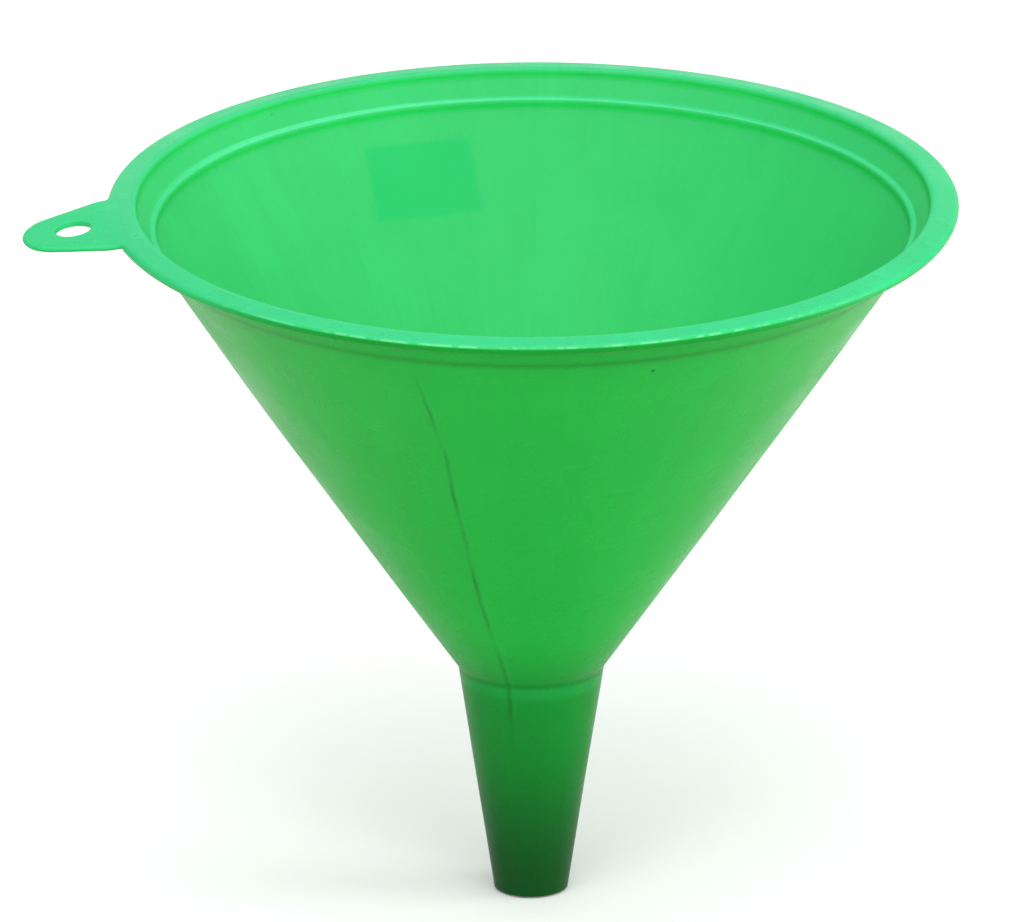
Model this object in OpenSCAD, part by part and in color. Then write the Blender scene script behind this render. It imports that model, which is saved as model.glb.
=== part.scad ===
// Plastic pouring funnel with a hanging tab.
// The origin is the centre of the spout's end face, +Z runs up the axis to the rim,
// and the hanging tab points along -X, turned a little towards -Y.

/* [Rim] */
// Outer diameter of the rim flange
rim_d = 200; // [196:1:206]
// Height from the end of the spout to the crest of the rim
total_h = 170; // [166:1:185]
// Width of the flange, from the corner of the mouth to the outer edge
flange_w = 6.9; // [6:0.1:9]
// Thickness of the flange and of the hanging tab
flange_t = 1.3; // [1:0.1:1.6]
// Radius of the round bead along the flange's outer edge
bead_r = 1.25; // [1:0.05:1.4]
// Fall of the flange towards its outer edge, in degrees
flange_fall = 5.5; // [3:0.5:8]
// Distance from the corner of the mouth to where the flange starts to fall
crest_w = 1.8; // [1.4:0.1:2.4]
// Rounding of the corner of the mouth
crest_r = 1; // [0.7:0.1:1.1]
// Height of the upright wall below the corner of the mouth
mouth_h = 2; // [1.8:0.1:2.2]
// Thickness of that upright wall at its foot
mouth_wall = 1.5; // [1.4:0.1:1.7]

/* [Collar and ledge] */
// Depth of the collar, from the crest to the step on the outside
collar_h = 8.6; // [8:0.1:10]
// How far the collar stands out past the cone at the step on the outside
step_w = 0.7; // [0.4:0.1:1]
// Depth of the ledge's flat top below the crest
ledge_depth = 5.8; // [5.3:0.1:6.1]
// Width of the ledge's top, up to the corner of its edge
ledge_w = 1.4; // [1.2:0.1:1.8]
// Rounding of the ledge's edge
ledge_r = 1.1; // [0.4:0.1:1.2]
// Rounding where the ledge's front runs into the cone
ledge_foot_r = 1.8; // [1:0.1:1.8]

/* [Cone] */
// Outer diameter of the cone at the step below the collar
cone_top_d = 179; // [176:0.5:180]
// Wall of the cone, measured square to the surface
cone_wall = 1.2; // [1:0.1:1.5]

/* [Spout] */
// Height of the throat, where the cone meets the spout
throat_h = 55.6; // [45:0.2:65]
// Outer diameter at the throat
throat_d = 34.3; // [30:0.1:38]
// Outer diameter of the spout's end
tip_d = 17.2; // [14:0.1:22]
// Wall at the spout's end
tip_wall = 1.1; // [1:0.1:1.4]
// Wall at the top of the spout
spout_wall = 1.25; // [1.1:0.05:1.5]
// Rounding of the outer edge of the spout's end
tip_round = 0.4; // [0.2:0.1:0.5]
// Rounding outside and inside the throat
throat_r = 2.5; // [1.5:0.5:4]

/* [Hanging tab] */
// How far the end of the tab stands out from the rim
tab_reach = 20.4; // [18:0.1:24]
// Radius of the tab's rounded end
tab_end_r = 9.8; // [8:0.1:10]
// Width of the tab at the rim
tab_root_w = 29.4; // [26:0.1:36]
// Diameter of the hanging hole
tab_hole_d = 8.5; // [5:0.5:10]
// Distance of the hole's centre from the rim
tab_hole_out = 8.5; // [8:0.1:9.5]
// Rounding where the tab's sides run into the rim
tab_root_r = 2; // [1:0.5:4]
// Fall of the tab towards its end, in degrees
tab_fall = 8.7; // [4:0.1:12]
// Turn of the tab from -X towards -Y, in degrees
tab_turn = 7; // [0:0.1:30]

/* [Label] */
// Width of the label, round the cone
label_w = 26.5; // [20:0.5:32]
// Height of the label, up the slope of the cone
label_h = 18.5; // [12:0.5:24]
// Thickness of the label and its glue
label_t = 0.15; // [0.1:0.05:0.3]
// Height of the label's centre above the end of the spout
label_z = 148.5; // [120:0.5:149]
// Turn of the label from +Y towards -X, in degrees
label_turn = 18.7; // [0:0.1:60]

/* [Hidden] */
$fn = 180;
SHELL_GREEN = [0.28, 0.85, 0.45];
RIM_GREEN = [0.30, 0.90, 0.58];
SPOUT_GREEN = [0.10, 0.55, 0.22];
LABEL_WHITE = [0.95, 0.95, 0.92];
// Overlap of the tools that cut, past the faces they cut
PAST = 1;
// How far above the ledge's top its zone ends and the collar's begins
LEDGE_LIP = 0.6;
// Height left between the step on the outside and the round at the ledge's foot
FOOT_CLEAR = 0.05;
// How far inside the bead the tab joins the flange
JOIN_IN = 0.2;
// Reach of the cut that makes room for the tab, as a multiple of the rim's radius
GAP_REACH = 1.2;

// Heights at which one zone of the wall ends and the next begins
crease_z = total_h - collar_h;
ledge_z = total_h - ledge_depth;
ledge_top_z = ledge_z + LEDGE_LIP;
rim_bottom_z = total_h - mouth_h;
throat_top_z = throat_h + throat_r;
throat_bottom_z = throat_h - throat_r;

// The cone's outer and inner lines, as radius = slope x (height - apex)
cone_slope = (cone_top_d - throat_d) / 2 / (crease_z - throat_h);
cone_angle = atan(cone_slope);
function cone_out(z) = throat_d / 2 + cone_slope * (z - throat_h);
function cone_in(z) = cone_out(z) - cone_wall / cos(cone_angle);

// The spout's outer and inner lines
spout_slope = (throat_d - tip_d) / 2 / throat_h;
bore_tip_r = tip_d / 2 - tip_wall;
bore_slope = (throat_d / 2 - spout_wall - bore_tip_r) / throat_h;
function spout_out(z) = tip_d / 2 + spout_slope * z;
function spout_in(z) = bore_tip_r + bore_slope * z;

// Height at which the inner lines of the cone and the spout cross
bore_throat_z = (bore_tip_r - cone_in(0)) / (cone_slope - bore_slope);

// The ledge's front stands upright on the cone's inner line, with a round at its foot
foot_touch = ledge_foot_r * tan(cone_angle / 2);
foot_z = crease_z + foot_touch * cos(cone_angle) + FOOT_CLEAR;
ledge_edge_r = cone_in(foot_z);

// The collar's inner line runs from the upright wall's foot to the ledge, its outer line to the step
mouth_r = rim_d / 2 - flange_w;
collar_in_slope = (mouth_r - ledge_edge_r - ledge_w) / (rim_bottom_z - ledge_z);
collar_out_slope = (mouth_r + mouth_wall - cone_top_d / 2 - step_w) / (rim_bottom_z - crease_z);
function collar_in(z) = mouth_r + collar_in_slope * (z - rim_bottom_z);
function collar_out(z) = mouth_r + mouth_wall + collar_out_slope * (z - rim_bottom_z);

// The flange: a slab that slopes down from the crest and ends in a round bead.
// Height of the line that lies depth under the slab's top, at radius r.
fall_start = [mouth_r + crest_w, total_h];
function flange_z(r, depth) = total_h - depth / cos(flange_fall) - (r - fall_start[0]) * tan(flange_fall);
bead_x = rim_d / 2 - bead_r;
bead_z = flange_z(bead_x, bead_r);

// The tab joins the flange just inside its bead, at this radius and height
join_r = rim_d / 2 - 2 * bead_r - JOIN_IN;
join_z = flange_z(join_r, flange_t / 2);

// The tab's root: its side line, and the round that touches that line and the rim's circle.
// The tab's axis lies along +X here, and the funnel's axis is at the origin.
rim_r = rim_d / 2;
tab_end_x = rim_r + tab_reach - tab_end_r;
tab_root = [rim_r, tab_root_w / 2];
tab_run = [tab_end_x, 0] - tab_root;
tab_side_angle = atan2(tab_run[1], tab_run[0]) + asin(tab_end_r / norm(tab_run));
tab_side = [cos(tab_side_angle), sin(tab_side_angle)];
root_start = tab_root + tab_root_r * [-tab_side[1], tab_side[0]];
root_slide = -root_start * tab_side
    + sqrt(pow(root_start * tab_side, 2) - root_start * root_start + pow(rim_r + tab_root_r, 2));
root_centre = root_start + root_slide * tab_side;
rim_touch = root_centre * rim_r / (rim_r + tab_root_r);

// A point dist away from p in direction a, in degrees from the first axis
function along(p, a, dist) = p + dist * [cos(a), sin(a)];

// Turns a section into a ring round the axis
module ring() {
    rotate_extrude() children();
}

// Section of the rim without its bead: the flange and the upright wall below the mouth
module rim_section() {
    polygon([
        [mouth_r, rim_bottom_z], [collar_out(rim_bottom_z), rim_bottom_z],
        [fall_start[0], flange_z(fall_start[0], flange_t)], [bead_x, flange_z(bead_x, flange_t)],
        [bead_x, bead_z] + bead_r * [sin(flange_fall), cos(flange_fall)],
        fall_start, [mouth_r + crest_r, total_h], [mouth_r, total_h - crest_r]
    ]);
    translate([mouth_r + crest_r, total_h - crest_r]) circle(crest_r);
}

// Section of the collar, from the rim down to just above the ledge
module collar_section() {
    polygon([
        [collar_in(ledge_top_z), ledge_top_z], [collar_in(rim_bottom_z), rim_bottom_z],
        [collar_out(rim_bottom_z), rim_bottom_z], [collar_out(ledge_top_z), ledge_top_z]
    ]);
}

// Section of the wall at the ledge without its rounded edge, with a step outside where the cone starts
module ledge_section() {
    foot = [ledge_edge_r, foot_z];
    difference() {
        polygon([
            [collar_in(ledge_top_z), ledge_top_z], [collar_out(ledge_top_z), ledge_top_z],
            [collar_out(crease_z), crease_z], [cone_in(crease_z), crease_z],
            along(foot, 270 - cone_angle, foot_touch), along(foot, 90, foot_touch),
            [ledge_edge_r, ledge_z - ledge_r], [ledge_edge_r + ledge_r, ledge_z],
            [ledge_edge_r + ledge_w, ledge_z]
        ]);
        translate([ledge_edge_r - ledge_foot_r, foot_z + foot_touch]) circle(ledge_foot_r);
    }
}

// Section of the cone down to the throat
module cone_section() {
    polygon([
        [cone_in(crease_z), crease_z], [cone_out(crease_z), crease_z],
        [cone_out(throat_top_z), throat_top_z], [cone_in(throat_top_z), throat_top_z]
    ]);
}

// Section of the throat, with its outer corner filled and its inner corner rounded
module throat_section() {
    turn = (cone_angle - atan(spout_slope)) / 2;
    touch = throat_r * tan(turn);
    corner = [throat_d / 2, throat_h];
    up = along(corner, 90 - cone_angle, touch);
    down = along(corner, 270 - atan(spout_slope), touch);
    centre = along(up, -cone_angle, throat_r);
    inner = [spout_in(bore_throat_z), bore_throat_z];
    inner_up = along(inner, 90 - cone_angle, touch);
    inner_down = along(inner, 270 - atan(bore_slope), touch);
    difference() {
        polygon([
            [cone_in(throat_top_z), throat_top_z], [cone_out(throat_top_z), throat_top_z],
            up, down,
            [spout_out(throat_bottom_z), throat_bottom_z], [spout_in(throat_bottom_z), throat_bottom_z],
            inner_down, inner, inner_up
        ]);
        translate(centre) circle(throat_r);
    }
}

// Section of the spout, with the outer edge of its end rounded
module spout_section() {
    difference() {
        polygon([
            [spout_in(0), 0], [spout_out(0), 0],
            [spout_out(throat_bottom_z), throat_bottom_z], [spout_in(throat_bottom_z), throat_bottom_z]
        ]);
        translate([tip_d / 2 - tip_round, 0]) square([tip_round + PAST, tip_round]);
    }
    translate([tip_d / 2 - tip_round, tip_round]) circle(tip_round);
}

// The two sides of an outline that has its axis along +X
function both_sides(half) = concat(half, [for (i = [len(half) - 1:-1:0]) [half[i][0], -half[i][1]]]);

// A plate with the tab's outline and hole, as thick as the flange
module tab_plate() {
    end_touch = along([tab_end_x, 0], tab_side_angle + 90, tab_end_r);
    half = [rim_touch, root_centre, tab_root + root_slide * tab_side, end_touch];
    cut_h = flange_t + 2 * PAST;
    difference() {
        union() {
            linear_extrude(flange_t, center = true) polygon(concat([[0, 0]], both_sides(half)));
            translate([tab_end_x, 0]) cylinder(flange_t, r = tab_end_r, center = true);
        }
        for (s = [-1, 1]) translate([root_centre[0], s * root_centre[1]])
            cylinder(cut_h, r = tab_root_r, center = true);
        cylinder(cut_h, r = join_r, center = true);
        translate([rim_r + tab_hole_out, 0]) cylinder(cut_h, d = tab_hole_d, center = true);
    }
}

// The stretch of the rim's edge that the tab takes the place of
module tab_gap() {
    gap_h = 4 * (flange_t + bead_r + PAST);
    reach = GAP_REACH * rim_touch;
    translate([0, 0, total_h]) difference() {
        linear_extrude(gap_h, center = true) polygon([[0, 0], reach, [reach[0], -reach[1]]]);
        cylinder(gap_h + 2 * PAST, r = join_r, center = true);
    }
}

// Puts what is drawn with the tab's axis along +X in the tab's direction
module towards_tab() {
    rotate(180 + tab_turn) children();
}

module rim_flange() {
    color(RIM_GREEN) difference() {
        union() {
            ring() rim_section();
            ring() translate([bead_x, bead_z]) circle(bead_r);
        }
        towards_tab() tab_gap();
    }
}

module hang_tab() {
    color(RIM_GREEN) towards_tab()
        translate([join_r, 0, join_z]) rotate([0, tab_fall, 0]) translate([-join_r, 0, 0]) tab_plate();
}

module collar() {
    color(SHELL_GREEN) ring() collar_section();
}

module ledge_ring() {
    color(SHELL_GREEN) union() {
        ring() ledge_section();
        ring() translate([ledge_edge_r + ledge_r, ledge_z - ledge_r]) circle(ledge_r);
    }
}

module cone() {
    color(SHELL_GREEN) ring() cone_section();
}

module throat_ring() {
    color(SHELL_GREEN) ring() throat_section();
}

module spout() {
    color(SPOUT_GREEN) ring() spout_section();
}

// The label follows the cone's outer surface and is cut square to it
module label() {
    top = label_z + label_h;
    bottom = label_z - label_h;
    grow = label_t / cos(cone_angle);
    color(LABEL_WHITE) intersection() {
        ring() polygon([
            [cone_out(bottom), bottom], [cone_out(bottom) + grow, bottom],
            [cone_out(top) + grow, top], [cone_out(top), top]
        ]);
        rotate(90 + label_turn) translate([cone_out(label_z), 0, label_z]) rotate([0, cone_angle, 0])
            cube([label_w / 2, label_w, label_h], center = true);
    }
}

rim_flange();
hang_tab();
collar();
ledge_ring();
cone();
throat_ring();
spout();
label();
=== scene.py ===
import math

import bmesh
import bpy
import numpy as np
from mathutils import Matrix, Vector
from mathutils.geometry import delaunay_2d_cdt


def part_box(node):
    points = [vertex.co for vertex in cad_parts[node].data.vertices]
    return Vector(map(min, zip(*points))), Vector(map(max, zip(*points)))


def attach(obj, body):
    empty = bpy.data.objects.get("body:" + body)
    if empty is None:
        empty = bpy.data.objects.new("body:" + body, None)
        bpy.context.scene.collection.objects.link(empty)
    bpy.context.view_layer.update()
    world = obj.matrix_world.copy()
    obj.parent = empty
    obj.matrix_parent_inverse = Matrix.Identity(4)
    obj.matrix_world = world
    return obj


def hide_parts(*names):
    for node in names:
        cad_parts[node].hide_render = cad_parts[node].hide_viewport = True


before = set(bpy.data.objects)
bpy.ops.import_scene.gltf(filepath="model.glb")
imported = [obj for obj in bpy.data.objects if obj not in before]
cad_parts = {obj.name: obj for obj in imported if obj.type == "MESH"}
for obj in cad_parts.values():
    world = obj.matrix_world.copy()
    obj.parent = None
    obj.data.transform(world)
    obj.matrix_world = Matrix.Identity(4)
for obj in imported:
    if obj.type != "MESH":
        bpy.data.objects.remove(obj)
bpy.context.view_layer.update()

MM = 0.001
random = np.random.default_rng(20)


def cad_box(node):
    """A CAD node's box in millimetres, to the nearest micrometre."""
    low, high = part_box(node)
    return [round(v / MM, 3) for v in low], [round(v / MM, 3) for v in high]


# Heights where one zone of the moulding ends and the next begins, and the rim's radius
rim_box, collar_box = cad_box("rim_flange"), cad_box("collar")
ledge_box, throat_box = cad_box("ledge_ring"), cad_box("throat_ring")
TOTAL_H = rim_box[1][2]
RIM_BOTTOM_Z = collar_box[1][2]
LEDGE_TOP_Z = collar_box[0][2]
CREASE_Z = ledge_box[0][2]
THROAT_TOP_Z = throat_box[1][2]
THROAT_BOTTOM_Z = throat_box[0][2]
RIM_R = 100.0

# The sections, as in the CAD source
MOUTH_R = 93.1
CREST_W = 1.8
CREST_R = 1.0
FLANGE_T = 1.3
BEAD_R = 1.25
FALL = math.radians(5.5)
MOUTH_WALL = 1.5
STEP_W = 0.7
LEDGE_Z = TOTAL_H - 5.8
LEDGE_W = 1.4
LEDGE_R = 1.1
LEDGE_FOOT_R = 1.8
CONE_TOP_R = 89.5
CONE_WALL = 1.2
THROAT_H = 55.6
THROAT_R = 17.15
TIP_R = 8.6
TIP_WALL = 1.1
SPOUT_WALL = 1.25
TIP_ROUND = 0.4

# Rounds of the sections
THROAT_OUT_R = 1.8
THROAT_IN_R = 2.5
STEP_EDGE_R = 0.4
LEDGE_BACK_R = 0.6
MOUTH_FOOT_R = 2.0
UNDER_RIM_R = 0.5
FALL_START_R = 8.0
BEAD_FILLET_R = 0.15
BORE_EDGE_R = 0.1

# Gaps that keep neighbouring shapes apart
FOOT_CLEAR = 0.05
JOIN_IN = 0.2

# The hanging tab: its axis points along azimuth TAB_AZ
TAB_AZ = math.radians(187.0)
TAB_REACH = 20.4
TAB_END_R = 9.8
TAB_ROOT_W = 29.4
TAB_ROOT_R = 2.0
TAB_HOLE_R = 4.25
TAB_HOLE_SOFT = 0.16
TAB_HOLE_X = RIM_R + 8.5
TAB_FALL = math.radians(8.7)
TAB_TWIST = math.radians(-2.9)
TAB_BEND_W = 2.5
TAB_TWIST_W = 6.0

CONE_SLOPE = (CONE_TOP_R - THROAT_R) / (CREASE_Z - THROAT_H)
CONE_ANGLE = math.atan(CONE_SLOPE)
SHARP_ANGLE = math.radians(35)


def cone_out(z):
    return THROAT_R + CONE_SLOPE * (z - THROAT_H)


def cone_in(z):
    return cone_out(z) - CONE_WALL / math.cos(CONE_ANGLE)


def spout_out(z):
    return TIP_R + (THROAT_R - TIP_R) / THROAT_H * z


BORE_TIP_R = TIP_R - TIP_WALL
BORE_SLOPE = (THROAT_R - SPOUT_WALL - BORE_TIP_R) / THROAT_H
BORE_THROAT_Z = (BORE_TIP_R - cone_in(0)) / (CONE_SLOPE - BORE_SLOPE)


def spout_in(z):
    return BORE_TIP_R + BORE_SLOPE * z


# The ledge's front stands upright on the cone's inner line
FOOT_TOUCH = LEDGE_FOOT_R * math.tan(CONE_ANGLE / 2)
FOOT_Z = CREASE_Z + FOOT_TOUCH * math.cos(CONE_ANGLE) + FOOT_CLEAR
LEDGE_EDGE_R = cone_in(FOOT_Z)
COLLAR_IN_SLOPE = (MOUTH_R - LEDGE_EDGE_R - LEDGE_W) / (RIM_BOTTOM_Z - LEDGE_Z)
COLLAR_OUT_SLOPE = (MOUTH_R + MOUTH_WALL - CONE_TOP_R - STEP_W) / (RIM_BOTTOM_Z - CREASE_Z)


def collar_in(z):
    return MOUTH_R + COLLAR_IN_SLOPE * (z - RIM_BOTTOM_Z)


def collar_out(z):
    return MOUTH_R + MOUTH_WALL + COLLAR_OUT_SLOPE * (z - RIM_BOTTOM_Z)


FALL_START = (MOUTH_R + CREST_W, TOTAL_H)


def flange_z(r, depth):
    """Height of the line that lies depth under the flange's top, at radius r."""
    return TOTAL_H - depth / math.cos(FALL) - (r - FALL_START[0]) * math.tan(FALL)


EDGE_R = FLANGE_T / 2
BEAD_C = (RIM_R - BEAD_R, flange_z(RIM_R - BEAD_R, BEAD_R))
JOIN_R = RIM_R - 2 * BEAD_R - JOIN_IN


# -------- drawing sections

def on(wall, z):
    """The point of a wall's line at height z."""
    return wall(z), z


def line(p, q, step):
    """Points from p to q, both included, about step apart."""
    n = max(1, round(math.dist(p, q) / step))
    return [(p[0] + (q[0] - p[0]) * i / n, p[1] + (q[1] - p[1]) * i / n) for i in range(n + 1)]


def arc(centre, r, a0, a1, n):
    """Points of an arc, from a0 to a1 in degrees."""
    return [(centre[0] + r * math.cos(math.radians(a0 + (a1 - a0) * i / n)),
             centre[1] + r * math.sin(math.radians(a0 + (a1 - a0) * i / n))) for i in range(n + 1)]


def corner(before, at, after, r, n):
    """An arc of radius r in place of the corner at, between the lines to before and after."""
    u = np.subtract(before, at) / math.dist(before, at)
    v = np.subtract(after, at) / math.dist(after, at)
    half = math.acos(float(np.clip(u @ v, -1, 1))) / 2
    middle = (u + v) / np.linalg.norm(u + v)
    centre = np.array(at) + middle * r / math.sin(half)
    start = np.array(at) + u * r / math.tan(half) - centre
    end = np.array(at) + v * r / math.tan(half) - centre
    a0 = math.atan2(start[1], start[0])
    turn = (math.atan2(end[1], end[0]) - a0 + math.pi) % (2 * math.pi) - math.pi
    angles = [a0 + turn * i / n for i in range(n + 1)]
    return [tuple(centre + r * np.array([math.cos(a), math.sin(a)])) for a in angles]


def chain(*runs):
    """Runs of points joined end to end, with no point twice."""
    points = []
    for run in runs:
        for p in run:
            if not points or math.dist(points[-1], p) > 1e-4:
                points.append((float(p[0]), float(p[1])))
    return points


def round_fillet(p, d, n, r, round_c, round_r):
    """The fillet of radius r between a round and the line that leaves it along d.

    n points to the line's free side. Returns the point on the line, the fillet's centre and the point on
    the round."""
    base = np.array(p) + np.array(n) * r - np.array(round_c)
    along = float(base @ d)
    t = -along + math.sqrt(along * along - float(base @ base) + (round_r + r) ** 2)
    centre = base + t * np.array(d) + np.array(round_c)
    towards = np.array(round_c) - centre
    return centre - np.array(n) * r, centre, centre + towards / np.linalg.norm(towards) * r


def arc_between(p, centre, q, n):
    """The shorter arc about centre from p to q."""
    a0 = math.degrees(math.atan2(p[1] - centre[1], p[0] - centre[0]))
    a1 = math.degrees(math.atan2(q[1] - centre[1], q[0] - centre[0]))
    turn = (a1 - a0 + 180) % 360 - 180
    return arc(centre, math.dist(p, centre), a0, a0 + turn, n)


# -------- the moulding's small unevenness

def smooth(share):
    """A share from 0 to 1, eased at both ends."""
    return share * share * (3 - 2 * share)


def hump(distance, width):
    """A round hump, 1 at no distance and next to nothing past twice its width."""
    return np.exp(-(distance / width) ** 2)


def outer_radius(z):
    """The moulding's outside radius at height z, up to the crease under the step."""
    return np.interp(z, [0, THROAT_H, CREASE_Z], [TIP_R, THROAT_R, CONE_TOP_R])


# Where the knit line stands, on which two fronts of the melt met: degrees back from azimuth 270, by height
KNIT_HEIGHTS = [35, 56, 64, 73, 83, 96, 106, 116, 131, 139, 147, 158]
KNIT_TURNS = [17.0, 17.8, 18.6, 19.1, 19.4, 18.6, 18.0, 17.8, 16.9, 17.5, 17.8, 18.5]
KNIT_FROM, KNIT_TO = 36, 157
KNIT_DEPTH = 0.008
GROOVE_W = 0.3
RIDGE_AT, RIDGE_W, RIDGE_SHARE = 0.75, 0.4, 0.3
WANDER = 0.05
WANDER_LENGTHS = (21.0, 13.0, 7.1, 4.3)
wander_phase = random.uniform(0, 2 * math.pi, 8)
beat_phase = random.uniform(0, 2 * math.pi, 4)


def knit_azimuth(z):
    """Azimuth of the knit line at height z, in radians, with a small irregular wander."""
    z = np.asarray(z, float)
    turn = np.interp(z, KNIT_HEIGHTS, KNIT_TURNS)
    wander = sum(WANDER * np.sin(z * 2 * math.pi / w + p) for w, p in zip(WANDER_LENGTHS, wander_phase))
    return np.radians(270 - turn) + wander / outer_radius(z)


def knit_strength(z):
    """How strong the knit line is at height z, from 0 to 1: it fades at its ends and varies between them."""
    z = np.asarray(z, float)
    fade = np.clip((z - KNIT_FROM) / 14, 0, 1) * np.clip((KNIT_TO - z) / 10, 0, 1)
    beat = 0.62 + 0.25 * np.sin(z / 5.3 + beat_phase[0]) + 0.2 * np.sin(z / 2.1 + beat_phase[1])
    return fade * np.clip(beat, 0.15, 1)


# Slow waves of the two skins, from cooling
INSIDE, OUTSIDE = -1, 1
WAVES_PER_SKIN = 7
WAVE_H = 0.018
WAVE_RISE = 0.03


def one_wave():
    """A wave's turns round the funnel, its cycles per millimetre of height, and its phase."""
    return int(random.integers(2, 15)), random.uniform(-WAVE_RISE, WAVE_RISE), random.uniform(0, 2 * math.pi)


waves = {skin: [one_wave() for _ in range(WAVES_PER_SKIN)] for skin in (INSIDE, OUTSIDE)}


def skin_wave(theta, z, skin):
    """Slow unevenness of a skin, in millimetres."""
    total = np.zeros_like(theta)
    for side in (INSIDE, OUTSIDE):
        one = sum(np.sin(m * theta + 2 * math.pi * k * z + p) for m, k, p in waves[side]) * WAVE_H
        total = total + np.where(skin == side, one, 0)
    return total


def knit_distance(theta, r, z):
    """Distance from the knit line round the funnel, in millimetres."""
    return ((theta - knit_azimuth(z) + math.pi) % (2 * math.pi) - math.pi) * r


def knit_relief(theta, r, z, skin):
    """A groove along the knit line with a low ridge beside it, on the outside only."""
    d = knit_distance(theta, r, z)
    shape = RIDGE_SHARE * hump(d - RIDGE_AT, RIDGE_W) - hump(d, GROOVE_W)
    return np.where(skin == OUTSIDE, KNIT_DEPTH * knit_strength(z) * shape, 0)


# The warp, in millimetres: it starts at WARP_FROM and is full at the rim. X is across, Y is front to back.
WARP_FROM = 118
RIM_LIFT, RIM_TILT_X, RIM_TILT_Y = 0.25, 0.3, 0.56
RIM_OVAL, RIM_SKEW = -0.34, 0.2
RIM_OFF_X, RIM_OFF_Y = 0.49, 0.11
BULGE_TAB_SIDE, BULGE_FAR_SIDE = 0.55, 0.25


def rim_warp(x, y, z):
    """Points moved by the slow distortion of a thin moulding.

    The rim is a little out of flat, out of round and off the axis, and the cone bulges at both sides."""
    w = smooth(np.clip((z - WARP_FROM) / (TOTAL_H - WARP_FROM), 0, 1))
    theta = np.arctan2(y, x)
    dz = w * (RIM_LIFT + RIM_TILT_X * np.cos(theta) + RIM_TILT_Y * np.sin(theta))
    height = np.clip((z - THROAT_H) / (CREASE_Z - THROAT_H), 0, 1)
    sideways = np.cos(theta) ** 2 * np.where(np.cos(theta) < 0, BULGE_TAB_SIDE, BULGE_FAR_SIDE)
    bulge = np.sin(math.pi * height) ** 0.7 * sideways
    oval = RIM_OVAL * np.cos(2 * theta) + RIM_SKEW * np.sin(2 * theta)
    dr = bulge + w * (oval + RIM_OFF_X * np.cos(theta) + RIM_OFF_Y * np.sin(theta))
    grow = 1 + dr / np.hypot(x, y)
    return x * grow, y * grow, z + dz


# -------- columns of the lathed grid

# Distances from the knit line of the columns that crowd on each side of it
KNIT_OFFSETS = [0.12, 0.24, 0.36, 0.48, 0.6, 0.72, 0.86, 1.02, 1.22, 1.5, 1.9, 2.5]


# Steps along half of the tab's outline: its root fillet, its side and its end
ROOT_STEPS, SIDE_STEPS, END_STEPS = 14, 15, 20


def tab_outline():
    """The tab in plan, with its axis along +X and the funnel's axis at the origin.

    Returns the middle line of the outline's full round, the outward directions along it, and half the
    angle that the tab takes up at the rim."""
    end_x = RIM_R + TAB_REACH - TAB_END_R
    root = np.array([RIM_R, TAB_ROOT_W / 2])
    run = np.array([end_x, 0.0]) - root
    side_angle = math.atan2(run[1], run[0]) + math.asin(TAB_END_R / float(np.linalg.norm(run)))
    side = np.array([math.cos(side_angle), math.sin(side_angle)])
    out = np.array([-side[1], side[0]])
    start = root + TAB_ROOT_R * out
    along = float(start @ side)
    slide = -along + math.sqrt(along ** 2 - float(start @ start) + (RIM_R + TAB_ROOT_R) ** 2)
    centre = start + slide * side
    rim_angle = math.atan2(centre[1], centre[0])
    points, normals = [], []
    # half the outline, from the rim to the end: root fillet, side, end round
    a0, a1 = math.degrees(rim_angle) + 180, math.degrees(math.atan2(-out[1], -out[0]))
    a1 = a0 + ((a1 - a0 + 180) % 360 - 180)
    for i in range(ROOT_STEPS + 1):
        a = math.radians(a0 + (a1 - a0) * i / ROOT_STEPS)
        towards = np.array([math.cos(a), math.sin(a)])
        points.append(centre + towards * (TAB_ROOT_R + EDGE_R))
        normals.append(-towards)
    side_end = np.array([end_x, 0.0]) + out * (TAB_END_R - EDGE_R)
    side_start = points[-1]
    for i in range(1, SIDE_STEPS + 1):
        points.append(side_start + (side_end - side_start) * i / SIDE_STEPS)
        normals.append(out)
    b0 = math.atan2(out[1], out[0])
    for i in range(1, END_STEPS + 1):
        b = b0 * (1 - i / END_STEPS)
        e = np.array([math.cos(b), math.sin(b)])
        points.append(np.array([end_x, 0.0]) + e * (TAB_END_R - EDGE_R))
        normals.append(e)
    # mirrored, so that the outline runs from the lower root to the upper one
    half = list(zip(points, normals))
    mirrored = [(p * [1, -1], e * [1, -1]) for p, e in half[:-1]]
    full = mirrored + half[::-1]
    return np.array([p for p, _ in full]), np.array([e for _, e in full]), rim_angle


TAB_LINE, TAB_OUT, TAB_HALF = tab_outline()
TAB_COLUMNS = 26
LEFT_COLUMNS, RIGHT_COLUMNS = 52, 292
tab_from, tab_to = TAB_AZ - TAB_HALF, TAB_AZ + TAB_HALF


def columns(z):
    """Azimuths of the grid's columns at height z, rising from the knit line.

    They crowd round the knit line, and two of them always stand at the tab's sides."""
    knit = float(knit_azimuth(z))
    r = float(outer_radius(z))
    near = [d / r for d in KNIT_OFFSETS]
    low, high = knit - near[-1], knit + near[-1]
    left = np.linspace(tab_to, low, LEFT_COLUMNS, endpoint=False)
    right = np.linspace(high, tab_from + 2 * math.pi, RIGHT_COLUMNS + 1)[1:]
    tab = np.linspace(tab_from, tab_to, TAB_COLUMNS, endpoint=False)[1:] + 2 * math.pi
    close = [knit - d for d in near[::-1]] + [knit] + [knit + d for d in near]
    return np.concatenate([close, right, tab, left + 2 * math.pi])


COLUMN_COUNT = len(columns(100.0))
# Columns from the tab's one side to the other
TAB_FIRST = 2 * len(KNIT_OFFSETS) + RIGHT_COLUMNS
TAB_LAST = TAB_FIRST + TAB_COLUMNS


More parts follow.
